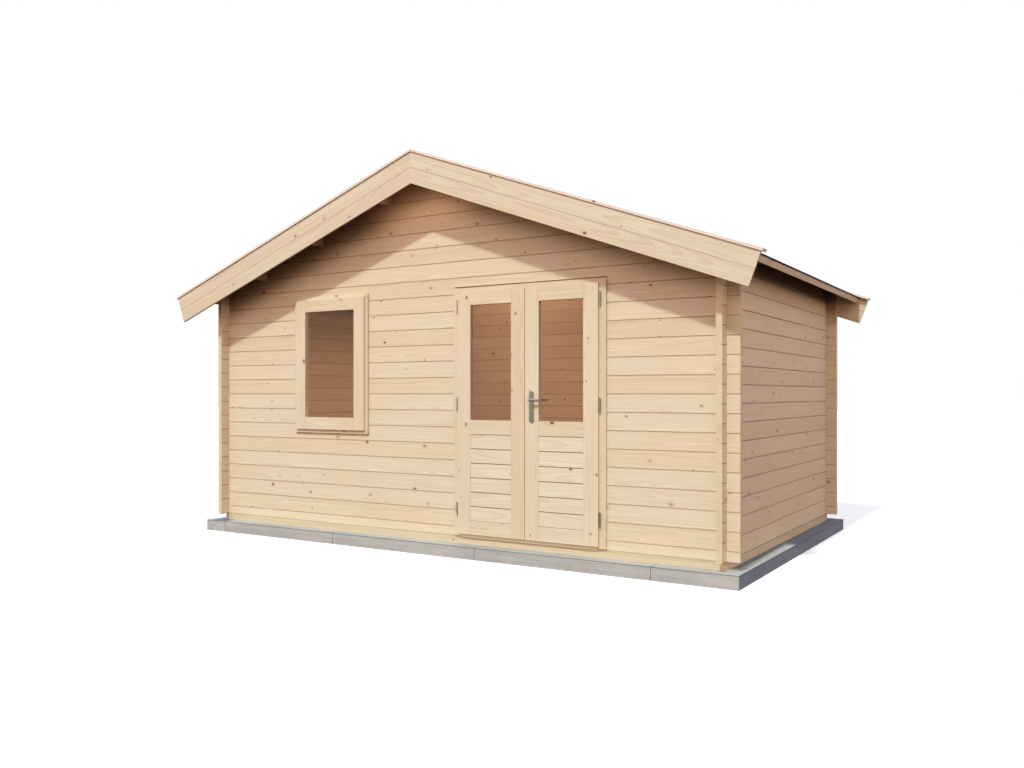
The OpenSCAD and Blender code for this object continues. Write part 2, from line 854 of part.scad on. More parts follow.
module right_hinge_halves() {
    color(steel_grey) place_right() leaf_knuckles();
}

module frame_hinge_halves() {
    color(steel_grey) {
        place_left() frame_knuckles();
        place_right() frame_knuckles();
    }
}

// Bar in the XZ plane with round ends, centred on x = 0 from z0 to z1
module round_bar(z0, z1, w, y0, y1) {
    translate([0, y1, 0]) rotate([90, 0, 0]) linear_extrude(y1 - y0) {
        translate([0, z0 + w / 2]) circle(d = w, $fn = 48);
        translate([0, z1 - w / 2]) circle(d = w, $fn = 48);
        translate([-w / 2, z0 + w / 2]) square([w, z1 - z0 - w]);
    }
}

// Plates on both faces of the stile, bored for the lever
module handle_plates() {
    color(handle_grey) for (y0 = [leaf_face - plate_t, leaf_back])
        difference() {
            translate([axle_x, 0, axle_z - axle_up])
                round_bar(-plate_l / 2, plate_l / 2, plate_w, y0, y0 + plate_t);
            translate([axle_x, y0 - over, axle_z]) rotate([-90, 0, 0])
                cylinder(d = axle_d + 2 * pin_fit, h = plate_t + 2 * over, $fn = 48);
        }
}

// Lever with rounded edges and tip, from its axle to +x, its outer face on y = 0
module lever() {
    flat = lever_w - lever_t;
    intersection() {
        rotate([0, 90, 0]) round_bar(-lever_w / 2, lever_l, lever_w, 0, lever_t);
        translate([-lever_w, lever_t / 2, 0]) rotate([90, 0, 90])
            linear_extrude(lever_l + 2 * lever_w) {
                for (z = [-flat / 2, flat / 2]) translate([0, z]) circle(d = lever_t, $fn = 48);
                translate([-lever_t / 2, -flat / 2]) square([lever_t, flat]);
            }
    }
}

// Levers inside and out on one axle, level at rest and pointing to the hinges
module door_handle() {
    out_y = leaf_face - plate_t - lever_out;
    in_y1 = leaf_back + plate_t + lever_out;
    color(handle_grey) translate([axle_x, 0, axle_z]) {
        translate([0, out_y + lever_t / 2, 0]) rotate([-90, 0, 0])
            cylinder(d = axle_d, h = in_y1 - out_y - lever_t, $fn = 48);
        translate([0, out_y, 0]) lever();
        translate([0, in_y1 - lever_t, 0]) lever();
    }
}

kerb_front();
kerb_back();
kerb_left();
kerb_right();
sole_beams();
floor_joists();
floor_boards();
front_wall_left();
front_wall_right();
lintel_log();
front_gable();
back_wall();
back_gable();
left_wall();
right_wall();
ridge_purlin();
left_purlins();
right_purlins();
left_roof_boards();
right_roof_boards();
left_roof_felt();
right_roof_felt();
front_barge_boards();
back_barge_boards();
front_verge_cover();
back_verge_cover();
left_eaves_board();
right_eaves_board();
window_frame();
window_sash();
window_glass();
door_frame();
door_threshold();
left_door_frame();
left_door_boards();
left_door_glass();
right_door_frame();
right_door_boards();
right_door_glass();
frame_hinge_halves();
left_hinge_halves();
right_hinge_halves();
handle_plates();
door_handle();
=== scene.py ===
import math

import bmesh
import bpy
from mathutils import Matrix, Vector


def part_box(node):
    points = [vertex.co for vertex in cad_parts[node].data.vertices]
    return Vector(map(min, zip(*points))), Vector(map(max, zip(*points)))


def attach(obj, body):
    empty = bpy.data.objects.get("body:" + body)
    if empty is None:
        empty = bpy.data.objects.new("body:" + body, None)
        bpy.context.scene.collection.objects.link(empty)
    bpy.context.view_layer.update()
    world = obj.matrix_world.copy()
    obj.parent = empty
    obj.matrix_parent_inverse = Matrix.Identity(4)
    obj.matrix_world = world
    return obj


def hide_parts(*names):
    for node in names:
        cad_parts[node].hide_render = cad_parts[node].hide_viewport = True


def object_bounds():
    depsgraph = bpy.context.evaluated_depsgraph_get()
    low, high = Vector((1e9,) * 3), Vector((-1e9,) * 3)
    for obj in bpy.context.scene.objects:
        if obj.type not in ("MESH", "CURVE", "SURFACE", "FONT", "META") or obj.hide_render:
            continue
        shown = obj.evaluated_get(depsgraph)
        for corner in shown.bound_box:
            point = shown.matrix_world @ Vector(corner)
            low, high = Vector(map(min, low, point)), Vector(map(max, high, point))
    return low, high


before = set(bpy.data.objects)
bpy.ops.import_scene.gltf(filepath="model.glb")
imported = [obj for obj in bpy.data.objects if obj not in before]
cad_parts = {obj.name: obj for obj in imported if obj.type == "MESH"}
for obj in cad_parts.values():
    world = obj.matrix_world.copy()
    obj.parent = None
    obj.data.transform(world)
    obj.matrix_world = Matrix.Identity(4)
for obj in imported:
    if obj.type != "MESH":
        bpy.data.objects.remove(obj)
cad_low, cad_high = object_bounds()

# Sizes of the cabin in metres, most of them repeated from the model, and the slope of its roof
LOG_PITCH = 0.135
ROOF_PITCH = math.radians(20)
DECK_T = 0.019
FELT_T = 0.003
COVER_T = 0.018
STILE_W = 0.123
SASH_STILE_W = 0.115
KERB_H = 0.1
BOARD_PITCH = 0.096
FELT_WIDTH = 1.0
FELT_LAP = 0.08
FELT_OVERHANG = 0.0212
HALF = 0.5
MM = 0.001

# Heights of a joint between logs, in the front and back walls and in the side walls
FRONT_JOINT = 0.235
SIDE_JOINT = 0.3025

# Between these shares of its normal a face turns from looking across an axis to looking along it
TURNED = (0.6, 0.8)


def srgb(red, green, blue):
    """Colour in the scene's linear values from 0 to 255 values as seen on a screen."""
    def linear(value):
        value /= 255
        return value / 12.92 if value <= 0.04045 else ((value + 0.055) / 1.055) ** 2.4
    return (linear(red), linear(green), linear(blue), 1.0)


# Colours of the surfaces
PINE_LIGHT = srgb(231, 220, 194)
PINE_DARK = srgb(206, 182, 146)
PINE_KNOT = srgb(110, 54, 29)
PINE_JOINT = srgb(139, 80, 44)
JOINERY_DARK = srgb(198, 170, 131)
PANEL_LIGHT = srgb(233, 225, 200)
PANEL_DARK = srgb(211, 188, 153)
BARGE_LIGHT = srgb(226, 215, 190)
BARGE_DARK = srgb(199, 175, 143)
COVER_LIGHT = srgb(234, 227, 219)
COVER_DARK = srgb(214, 196, 177)
# Pine darkened as painted shade, for the roof boards and purlins
ROOF_SHADED_LIGHT = srgb(190, 172, 146)
ROOF_SHADED_DARK = srgb(160, 134, 104)
TREATED_LIGHT = srgb(212, 200, 170)
TREATED_DARK = srgb(182, 163, 131)
CONCRETE_LIGHT = srgb(196, 196, 194)
CONCRETE_DARK = srgb(162, 163, 161)
# Colour of the dark line along the top of the kerbs' upright faces
CONCRETE_EDGE = srgb(84, 82, 82)
FELT_LIGHT = srgb(62, 61, 60)
FELT_DARK = srgb(26, 26, 26)
FELT_JOINT = srgb(14, 14, 14)
GLASS_LIGHT = srgb(170, 176, 172)
GLASS_DARK = srgb(150, 158, 156)
STEEL = srgb(207, 190, 163)
PLATE = srgb(194, 183, 163)
LEVER = srgb(206, 199, 188)

# Colours that the colour of a surface is multiplied by
END_GRAIN = (0.96, 0.94, 0.91, 1.0)
# Painted shade for the logs close under the roof
ROOF_SHADE_TINT = srgb(149, 124, 122)
# Painted shade for the kerb faces that look along X
CONCRETE_SIDE_SHADE = srgb(179, 201, 229)
# Painted shadow for the tops of the side kerbs
CONCRETE_SHADOW = srgb(164, 172, 196)


class Shader:
    """A Principled material and short calls to add nodes to it."""

    def __init__(self, name, roughness, metallic=0.0):
        self.material = bpy.data.materials.new(name)
        self.material.use_nodes = True
        self.nodes = self.material.node_tree.nodes
        self.links = self.material.node_tree.links
        self.bsdf = self.nodes["Principled BSDF"]
        self.bsdf.inputs["Roughness"].default_value = roughness
        self.bsdf.inputs["Metallic"].default_value = metallic

    def put(self, socket, value):
        """Links an input to another node's output, or sets it to a plain value."""
        if isinstance(value, bpy.types.NodeSocket):
            self.links.new(value, socket)
        else:
            socket.default_value = value

    def node(self, kind, **settings):
        made = self.nodes.new(kind)
        for key, value in settings.items():
            setattr(made, key, value)
        return made

    def math(self, operation, *values, clamp=False):
        made = self.node("ShaderNodeMath", operation=operation, use_clamp=clamp)
        for socket, value in zip(made.inputs, values):
            self.put(socket, value)
        return made.outputs[0]

    def place(self):
        return self.node("ShaderNodeTexCoord").outputs["Object"]

    def position(self):
        return self.split(self.place())

    def normal(self):
        return self.split(self.node("ShaderNodeTexCoord").outputs["Normal"])

    def split(self, vector):
        made = self.node("ShaderNodeSeparateXYZ")
        self.put(made.inputs[0], vector)
        return made.outputs[0], made.outputs[1], made.outputs[2]

    def vector(self, x, y, z):
        made = self.node("ShaderNodeCombineXYZ")
        for socket, value in zip(made.inputs, (x, y, z)):
            self.put(socket, value)
        return made.outputs[0]

    def noise(self, vector, scale=1.0, detail=2.0, roughness=0.5):
        made = self.node("ShaderNodeTexNoise")
        self.put(made.inputs["Vector"], vector)
        made.inputs["Scale"].default_value = scale
        made.inputs["Detail"].default_value = detail
        made.inputs["Roughness"].default_value = roughness
        return made.outputs["Fac"]

    def cells(self, vector, scale, **settings):
        made = self.node("ShaderNodeTexVoronoi", **settings)
        self.put(made.inputs["Vector"], vector)
        made.inputs["Scale"].default_value = scale
        return made.outputs

    def random(self, vector):
        made = self.node("ShaderNodeTexWhiteNoise")
        self.put(made.inputs["Vector"], vector)
        return self.split(made.outputs["Color"])

    def smooth(self, value, low, high, out_low=0.0, out_high=1.0):
        made = self.node("ShaderNodeMapRange", interpolation_type="SMOOTHSTEP")
        for name, given in (("Value", value), ("From Min", low), ("From Max", high),
                            ("To Min", out_low), ("To Max", out_high)):
            self.put(made.inputs[name], given)
        return made.outputs[0]

    def mix(self, factor, first, second, blend="MIX"):
        made = self.node("ShaderNodeMix", data_type="RGBA", blend_type=blend)
        self.put(made.inputs[0], factor)
        sockets = [s for s in made.inputs if s.type == "RGBA"]
        self.put(sockets[0], first)
        self.put(sockets[1], second)
        return [s for s in made.outputs if s.type == "RGBA"][0]

    def tint(self, factor, colour, by):
        """The colour multiplied by another one, as far as the factor says."""
        return self.mix(factor, colour, self.mix(1.0, colour, by, "MULTIPLY"))

    def choose(self, factor, first, second):
        """The first value where the factor is 0 and the second where it is 1."""
        made = self.node("ShaderNodeMix", data_type="FLOAT")
        sockets = [s for s in made.inputs if s.type == "VALUE"]
        self.put(sockets[0], factor)
        self.put(sockets[1], first)
        self.put(sockets[2], second)
        return [s for s in made.outputs if s.type == "VALUE"][0]

    def bump(self, height, distance, strength):
        made = self.node("ShaderNodeBump")
        made.inputs["Distance"].default_value = distance
        made.inputs["Strength"].default_value = strength
        self.put(made.inputs["Height"], height)
        self.links.new(made.outputs[0], self.bsdf.inputs["Normal"])

    def colour(self, value):
        self.put(self.bsdf.inputs["Base Color"], value)
        return self.material


def wood(s, along, across, depth, index, light, dark, along_normal,
         knots, joint=None, roof_shade_mask=None):
    """Pine colour and grain: growth rings round a pith that wanders through each board.
    knots is how many there are, as a multiple of the usual number. joint is 1 where a joint
    is painted, and the last argument is 1 where shade close under the roof is painted on."""
    board_seed, board_offset = (3.7, 1.3), 37.0
    r1, r2, r3 = s.random(s.vector(index, *board_seed))
    shifted = s.math("ADD", along, s.math("MULTIPLY", r3, board_offset))

    def around(value, share):
        """A share of how far a random value lies from its middle."""
        return s.math("MULTIPLY", s.math("SUBTRACT", value, HALF), share)

    def drawn_out(lengthwise, crosswise, detail, roughness=0.5):
        """Noise drawn out along the grain, from its waves per metre along and across it."""
        return s.noise(s.vector(s.math("MULTIPLY", shifted, lengthwise),
                                s.math("MULTIPLY", across, crosswise),
                                s.math("MULTIPLY", depth, crosswise)), 1.0, detail, roughness)

    knot_cell, stretch, row_offset = 0.24, 1.5, 5.31
    knot_share, knot_least, knot_growth, knot_faintest = 0.5, 0.0045, 0.007, 0.4
    rim_out, rim_in, halo_out, halo_strength = 1.25, 0.55, 3.0, 0.45
    pull_reach, pull_most = 0.035, 0.005
    knot_place = s.vector(s.math("DIVIDE", shifted, knot_cell * stretch),
                          s.math("ADD", s.math("DIVIDE", across, knot_cell),
                                 s.math("MULTIPLY", index, row_offset)), 0.0)
    cells = s.cells(knot_place, 1.0, voronoi_dimensions="2D")
    away = s.math("MULTIPLY", cells["Distance"], knot_cell)
    k1, k2, k3 = s.split(cells["Color"])
    present = s.math("LESS_THAN", k1, knot_share * knots)
    radius = s.math("MULTIPLY_ADD", s.math("MULTIPLY", k2, k2), knot_growth, knot_least)
    knot = s.math("MULTIPLY", present,
                  s.smooth(away, s.math("MULTIPLY", radius, rim_out),
                           s.math("MULTIPLY", radius, rim_in)))
    halo = s.math("MULTIPLY", present,
                  s.smooth(away, s.math("MULTIPLY", radius, halo_out), radius, 0.0, halo_strength))
    pull = s.math("MULTIPLY", present, s.smooth(away, pull_reach, 0.0, 0.0, pull_most))

    wander_offset, drift_place, drift_offset = 2.7, 9.1, 1.9
    pith_spread, pith_wander, pith_least, pith_range, pith_drift = 0.12, 0.06, 0.03, 0.06, 0.04
    ring_w, late_from, late_to = 0.0035, 0.35, 0.95
    wander = s.noise(s.vector(shifted, s.math("MULTIPLY", index, wander_offset), 0.0),
                     scale=0.7, detail=1.0)
    drift = s.noise(s.vector(shifted, drift_place, s.math("MULTIPLY", index, drift_offset)),
                    scale=0.5, detail=1.0)
    pith_across = s.math("MULTIPLY_ADD", s.math("SUBTRACT", r1, HALF), pith_spread,
                         around(wander, pith_wander))
    pith_depth = s.math("ADD", s.math("MULTIPLY_ADD", r2, pith_range, pith_least),
                        around(drift, pith_drift))
    da = s.math("SUBTRACT", across, pith_across)
    dd = s.math("ADD", depth, pith_depth)
    ring = s.math("SQRT", s.math("ADD", s.math("MULTIPLY", da, da), s.math("MULTIPLY", dd, dd)))
    ring = s.math("ADD", ring, pull)
    late = s.smooth(s.math("FRACT", s.math("DIVIDE", ring, ring_w)), late_from, late_to)

    late_share, streak_share, amount_start = 0.3, 0.64, -0.12
    patch_share, board_share, fibre_share, patch_length = 0.3, 0.22, 0.2, 1.1
    streak = drawn_out(1.3, 45.0, detail=3.0, roughness=0.6)
    fibre = drawn_out(14.0, 700.0, detail=2.0)
    patch = s.noise(s.vector(s.math("MULTIPLY", shifted, patch_length), index, r2))
    amount = s.math("MULTIPLY_ADD", late, late_share,
                    s.math("MULTIPLY_ADD", streak, streak_share, amount_start))
    amount = s.math("ADD", amount, around(patch, patch_share))
    amount = s.math("ADD", amount, around(r1, board_share))
    amount = s.math("ADD", amount, around(fibre, fibre_share), clamp=True)
    base = s.mix(amount, light, dark)
    base = s.mix(halo, base, dark)
    knot_strength = s.math("MULTIPLY_ADD", k3, 1.0 - knot_faintest, knot_faintest)
    base = s.mix(s.math("MULTIPLY", knot, knot_strength), base, PINE_KNOT)

    end = s.smooth(s.math("ABSOLUTE", along_normal), *TURNED)
    base = s.tint(end, base, END_GRAIN)
    if joint is not None:
        base = s.mix(s.math("MULTIPLY", joint, s.math("SUBTRACT", 1.0, end)), base, PINE_JOINT)
    # Painted shade on the wood close under the roof
    if roof_shade_mask is not None:
        base = s.tint(roof_shade_mask, base, ROOF_SHADE_TINT)
    late_relief = 0.5
    s.bump(s.math("ADD", s.math("MULTIPLY", late, late_relief), fibre), distance=0.0004, strength=0.6)
    return s.colour(base)


def board_index(s, value, first, pitch):
    """Number of the board that a coordinate lies on, and its distance from the board's middle."""
    steps = s.math("DIVIDE", s.math("SUBTRACT", value, first), pitch)
    index = s.math("FLOOR", steps)
    middle = s.math("MULTIPLY", s.math("SUBTRACT", s.math("FRACT", steps), HALF), pitch)
    return index, middle


def joint_line(s, middle, pitch, half_width):
    """1 in the joint between two boards and 0 on their faces."""
    core = 0.3
    edge = s.math("SUBTRACT", pitch * HALF, s.math("ABSOLUTE", middle))
    return s.smooth(edge, half_width, half_width * core)


def slope_axes(s, x, z):
    """How far down the slope a place is from the ridge, and how far above the roof's underside."""
    away = s.math("ABSOLUTE", x)
    up = s.math("SUBTRACT", z, ridge_under)
    down = s.math("SUBTRACT", s.math("MULTIPLY", away, math.cos(ROOF_PITCH)),
                  s.math("MULTIPLY", up, math.sin(ROOF_PITCH)))
    over = s.math("ADD", s.math("MULTIPLY", away, math.sin(ROOF_PITCH)),
                  s.math("MULTIPLY", up, math.cos(ROOF_PITCH)))
    return down, over


def log_material(name, side):
    """Logs of the front and back walls, or of the side walls. The painted joint lines lie a
    little low, and the highest logs carry painted shade where they are close under the roof."""
    face_offset, joint_drop, joint_half_w, full_shade = 50.0, 2.5 * MM, 4.5 * MM, -0.03
    joint_strength, shade_start = (0.6, -0.2) if side else (0.45, -0.38)
    s = Shader(name, roughness=0.62)
    x, y, z = s.position()
    nx, ny, nz = s.normal()
    along, depth, end = (y, x, ny) if side else (x, y, nx)
    first = SIDE_JOINT if side else FRONT_JOINT
    mid_depth = cad_wall_x if side else cad_wall_y
    index, middle = board_index(s, z, first, LOG_PITCH)
    index = s.math("MULTIPLY_ADD", s.math("SIGN", depth), face_offset, index)
    inside = s.math("SUBTRACT", s.math("ABSOLUTE", depth), mid_depth)
    low_middle = board_index(s, z, first - joint_drop, LOG_PITCH)[1]
    joint = s.math("MULTIPLY", joint_line(s, low_middle, LOG_PITCH, joint_half_w), joint_strength)
    # Painted shade on the logs close under the roof, fading out lower down
    down, over = slope_axes(s, x, z)
    return wood(s, along, middle, inside, index, PINE_LIGHT, PINE_DARK, end, knots=1.35,
                joint=joint, roof_shade_mask=s.smooth(over, shade_start, full_shade))


def slope_material(name, light, dark, pitch, first, seam=0.0):
    """Boards that run down the slope of the roof on either side, with a seam between them."""
    side_offset, end_offset, seam_half_w = 7.0, 23.0, 2 * MM
    s = Shader(name, roughness=0.6)
    x, y, z = s.position()
    nx, ny, nz = s.normal()
    down, over = slope_axes(s, x, z)
    index, middle = board_index(s, over, first, pitch)
    index = s.math("ADD", index, s.math("MULTIPLY", s.math("SIGN", x), side_offset))
    index = s.math("ADD", index, s.math("MULTIPLY", s.math("SIGN", y), end_offset))
    end = s.math("SUBTRACT", s.math("MULTIPLY", s.math("ABSOLUTE", nx), math.cos(ROOF_PITCH)),
                 s.math("MULTIPLY", nz, math.sin(ROOF_PITCH)))
    joint = s.math("MULTIPLY", joint_line(s, middle, pitch, seam_half_w), seam) if seam else None
    return wood(s, down, middle, s.math("FRACT", y), index, light, dark, end, knots=0.8, joint=joint)


def deck_material(name):
    """Roof boards, side by side along the cabin's depth, running down the slope, in pine that is
    darkened as painted shade.
    """
    side_offset, slope_stretch, depth_share, end_share = 80.0, 1.06, 0.3, 0.7
    s = Shader(name, roughness=0.62)
    x, y, z = s.position()
    nx, ny, nz = s.normal()
    index, middle = board_index(s, y, deck_y0, deck_pitch)
    index = s.math("MULTIPLY_ADD", s.math("SIGN", x), side_offset, index)
    return wood(s, s.math("MULTIPLY", x, slope_stretch), middle, s.math("MULTIPLY", z, depth_share),
                index, ROOF_SHADED_LIGHT, ROOF_SHADED_DARK, s.math("MULTIPLY", nx, end_share), knots=0.9)


def bar_material(name, axis, light, dark, cell, roughness=0.62):
    """Separate bars along one axis, told apart by where they are across it."""
    row_offset, bar_w = 3.7, 0.12
    s = Shader(name, roughness)
    place = s.position()
    facing = s.normal()
    first, second = [place[i] for i in range(3) if i != axis]
    row = s.math("FLOOR", s.math("DIVIDE", second, cell))
    index = s.math("MULTIPLY_ADD", row, row_offset, s.math("FLOOR", s.math("DIVIDE", first, cell)))
    across = board_index(s, second, 0.0, bar_w)[1]
    depth = s.math("MULTIPLY", s.math("FRACT", s.math("DIVIDE", first, bar_w)), bar_w)
    return wood(s, place[axis], across, depth, index, light, dark, facing[axis], knots=0.8)


def joinery_material(name, low, high, stile, rails):
    """A frame of upright stiles and level rails between low and high corners.
    rails lists the middle heights of the rails from below, so each gets its own grain."""
    side_offset, first_rail, place_offset = 3.0, 10.0, 10
    seam_out, seam_in, seam_strength = 1.2 * MM, 0.5 * MM, 0.5
    s = Shader(name, roughness=0.5)
    x, y, z = s.position()
    nx, ny, nz = s.normal()
    half_w = (high.x - low.x) * HALF
    to_right = s.math("SUBTRACT", x, (low.x + high.x) * HALF)
    from_middle = s.math("ABSOLUTE", to_right)
    upright = s.math("GREATER_THAN", from_middle, half_w - stile)
    stile_index = s.math("MULTIPLY", s.math("SIGN", to_right), side_offset)
    stile_across = s.math("SUBTRACT", from_middle, half_w - stile * HALF)
    rail_index = first_rail
    rail_across = s.math("SUBTRACT", z, rails[0])
    for lower, height in zip(rails, rails[1:]):
        above = s.math("GREATER_THAN", z, (height + lower) * HALF)
        rail_index = s.math("ADD", rail_index, above)
        rail_across = s.choose(above, rail_across, s.math("SUBTRACT", z, height))
    along = s.choose(upright, x, z)
    across = s.choose(upright, rail_across, stile_across)
    index = s.math("ADD", s.choose(upright, rail_index, stile_index), low.x * place_offset)
    depth = s.math("SUBTRACT", y, low.y)
    seam = s.math("ABSOLUTE", s.math("SUBTRACT", from_middle, half_w - stile))
    line = s.math("MULTIPLY", s.smooth(seam, seam_out, seam_in), seam_strength)
    end = s.choose(upright, nx, nz)
    return wood(s, along, across, depth, index, PINE_LIGHT, JOINERY_DARK, end, knots=1.0, joint=line)


def panel_material(name, boards_low, pitch):
    """Level boards in the door leaves."""
    leaf_offset, joint_half_w, joint_strength = 31.0, 5 * MM, 0.85
    s = Shader(name, roughness=0.55)
    x, y, z = s.position()
    nx, ny, nz = s.normal()
    index, middle = board_index(s, z, boards_low, pitch)
    index = s.math("MULTIPLY_ADD", s.math("GREATER_THAN", x, door_middle), leaf_offset, index)
    depth = s.math("SUBTRACT", y, cad_low.y)
    joint = s.math("MULTIPLY", joint_line(s, middle, pitch, joint_half_w), joint_strength)
    return wood(s, x, middle, depth, index, PANEL_LIGHT, PANEL_DARK, nx, knots=0.6, joint=joint)


def concrete_material(name, side):
    """Kerb stones, with streaks along the row, a dark line at the top of the upright faces and
    painted shade on the faces that look along X. The tops of the side rows carry painted
    shadow beside the wall and towards the back."""
    streak_waves = (1.5, 28.0, 40.0)
    broad_share, grain_share, streak_share, hole_share = 0.3, 0.3, 0.4, 0.35
    shade_low, shade_high, hole_out, hole_in = 0.3, 0.7, 0.16, 0.08
    edge_out, edge_in, edge_strength = 9 * MM, 5 * MM, 0.6
    # Where painted shadow lies on the side kerbs' tops: inside these distances from the middle, and
    # back from these y
    shadow_x, shadow_y = (2.56, 2.54), (-0.22, -0.1)
    s = Shader(name, roughness=0.85)
    place = s.place()
    x, y, z = s.split(place)
    nx, ny, nz = s.normal()
    run, over = (y, x) if side else (x, y)
    streak = s.noise(s.vector(*(s.math("MULTIPLY", value, waves)
                                for value, waves in zip((run, over, z), streak_waves))),
                     detail=3.0, roughness=0.6)
    broad = s.noise(place, scale=2.2, detail=3.0)
    grain = s.noise(place, scale=60.0, detail=4.0, roughness=0.7)
    hole = s.smooth(s.cells(place, 55.0)["Distance"], hole_out, hole_in)
    shade = s.math("ADD", s.math("MULTIPLY", broad, broad_share),
                   s.math("MULTIPLY", grain, grain_share))
    shade = s.math("MULTIPLY_ADD", streak, streak_share, shade)
    tone = s.mix(s.smooth(shade, shade_low, shade_high), CONCRETE_DARK, CONCRETE_LIGHT)
    tone = s.mix(s.math("MULTIPLY", hole, hole_share), tone, CONCRETE_DARK)
    # Painted shade on the faces that look along X
    tone = s.tint(s.smooth(s.math("ABSOLUTE", nx), *TURNED), tone, CONCRETE_SIDE_SHADE)
    if side:
        # Painted shadow on the tops of the side rows, beside the wall and towards the back
        shadow_mask = s.math("MAXIMUM", s.smooth(s.math("ABSOLUTE", x), *shadow_x), s.smooth(y, *shadow_y))
        tone = s.tint(s.math("MULTIPLY", shadow_mask, s.smooth(nz, *TURNED)), tone, CONCRETE_SHADOW)
    # A dark line along the top of the upright faces
    upright = s.smooth(s.math("ABSOLUTE", nz), *reversed(TURNED))
    below = s.math("SUBTRACT", KERB_H, z)
    edge = s.math("MULTIPLY", upright, s.smooth(below, edge_out, edge_in, 0.0, edge_strength))
    tone = s.mix(edge, tone, CONCRETE_EDGE)
    s.bump(s.math("SUBTRACT", grain, hole), distance=0.0012, strength=0.8)
    return s.colour(tone)


def felt_material():
    """Gritty roofing felt, with a darker line where one strip laps over the next."""
    grit_share, broad_share, tone_low, tone_high = 0.5, 0.7, 0.3, 0.9
    lap_half_w, lap_strength = 5 * MM, 0.7
    s = Shader("roofing_felt", roughness=0.95)
    place = s.place()
    grit = s.cells(place, 420.0)["Distance"]
    broad = s.noise(place, scale=5.0, detail=6.0)
    value = s.math("ADD", s.math("MULTIPLY", grit, grit_share), s.math("MULTIPLY", broad, broad_share))
    tone = s.mix(s.smooth(value, tone_low, tone_high), FELT_DARK, FELT_LIGHT)
    x, y, z = s.split(place)
    down, over = slope_axes(s, x, z)
    middle = board_index(s, down, felt_end, FELT_WIDTH - FELT_LAP)[1]
    lap = s.math("MULTIPLY", joint_line(s, middle, FELT_WIDTH - FELT_LAP, lap_half_w), lap_strength)
    tone = s.mix(lap, tone, FELT_JOINT)
    s.bump(grit, distance=0.0008, strength=0.7)
    return s.colour(tone)


def metal_material(name, colour, roughness):
    """Metal with small patches that are darker and a little raised."""
    dull_share = 0.72
    s = Shader(name, roughness, metallic=1.0)
    worn = s.noise(s.place(), scale=90.0, detail=3.0, roughness=0.6)
    tone = s.mix(worn, colour, tuple(c * dull_share for c in colour[:3]) + (1.0,))
    s.bump(worn, distance=0.0001, strength=0.4)
    return s.colour(tone)


def glass_material():
    """Clear glass, nearly see-through."""
    s = Shader("clear_glass", roughness=0.02)
    s.bsdf.inputs["Alpha"].default_value = 0.05
    s.bsdf.inputs["IOR"].default_value = 1.5
    dust = s.noise(s.place(), scale=5.0, detail=2.0)
    return s.colour(s.mix(dust, GLASS_DARK, GLASS_LIGHT))


def dress(node, material):
    """Gives a CAD node its finish."""
    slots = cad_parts[node].data.materials
    slots.clear()
    slots.append(material)


def mesh_piece(name, vertices, faces, material, body):
    """Makes one piece of the scene from closed shapes, riding on a body."""
    mesh = bpy.data.meshes.new(name)
    mesh.from_pydata(vertices, [], faces)
    tidy = bmesh.new()
    tidy.from_mesh(mesh)
    bmesh.ops.recalc_face_normals(tidy, faces=tidy.faces)
    tidy.to_mesh(mesh)
    tidy.free()
    mesh.materials.append(material)
    piece = bpy.data.objects.new(name, mesh)
    bpy.context.scene.collection.objects.link(piece)
    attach(piece, body)
    return piece


def add_prism(vertices, faces, start, end):
    """Adds a closed prism between two matching outlines."""
    base = len(vertices)
    count = len(start)
    vertices.extend(start)
    vertices.extend(end)
    for i in range(count):
        j = (i + 1) % count
        faces.append((base + i, base + j, base + count + j, base + count + i))
    faces.append(tuple(base + i for i in reversed(range(count))))
    faces.append(tuple(base + count + i for i in range(count)))


def slope_point(side, u, w, y):
    """Point on a slope: u down from the ridge, w above the underside of the roof boards."""
    x = u * math.cos(ROOF_PITCH) + w * math.sin(ROOF_PITCH)
    z = ridge_under - u * math.sin(ROOF_PITCH) + w * math.cos(ROOF_PITCH)
    return (side * x, y, z)


def roof_deck(node, side, material):
    """Roof boards laid side by side, with chamfered edges below."""
    vertices, faces = [], []
    chamfer, gap, ridge_gap = 3.5 * MM, 0.4 * MM, 0.2 * MM
    for number in range(deck_count):
        y0 = deck_y0 + number * deck_pitch + gap
        y1 = deck_y0 + (number + 1) * deck_pitch - gap
        outline = [(y0 + chamfer, 0), (y1 - chamfer, 0), (y1, chamfer), (y1, DECK_T),
                   (y0, DECK_T), (y0, chamfer)]
        top = [slope_point(side, ridge_gap - w * math.tan(ROOF_PITCH), w, y) for y, w in outline]
        low = [slope_point(side, deck_u1, w, y) for y, w in outline]
        add_prism(vertices, faces, top, low)
    piece = mesh_piece(node + "_laid", vertices, faces, material, "root")
    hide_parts(node)


def roof_felt(node, side, material):
    """Strips of felt laid from the eaves up, each lapping over the one below. The first is
    turned down over the eaves, and the last reaches the ridge."""
    vertices, faces = [], []
    sheet_t, turned_t, ridge_gap = 1.4 * MM, 2.6 * MM, 0.3 * MM
    low_w = DECK_T + 0.1 * MM
    turned_w = DECK_T - 0.01
    lap_ramp, shortest = 0.03, 0.3
    end = felt_end
    while end > 0.0:
        start = end - FELT_WIDTH if end > FELT_WIDTH + shortest else 0.0
        if end > deck_u1:
            under = [(end, turned_w), (end - turned_t, turned_w), (end - turned_t, low_w),
                     (start, low_w)]
            upper = [(end, low_w), (start, low_w)]
        else:
            under = [(end, low_w + sheet_t), (end - FELT_LAP, low_w + sheet_t),
                     (end - FELT_LAP - lap_ramp, low_w), (start, low_w)]
            upper = under
        outline = under + [(u, w + sheet_t) for u, w in reversed(upper)]
        if start == 0.0:
            outline = [(ridge_gap - w * math.tan(ROOF_PITCH) if u == 0.0 else u, w)
                       for u, w in outline]
        add_prism(vertices, faces,
                  [slope_point(side, u, w, deck_y0) for u, w in outline],
                  [slope_point(side, u, w, -deck_y0) for u, w in outline])
        end = start + FELT_LAP if start > 0 else 0.0
    piece = mesh_piece(node + "_strips", vertices, faces, material, "root")
    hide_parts(node)


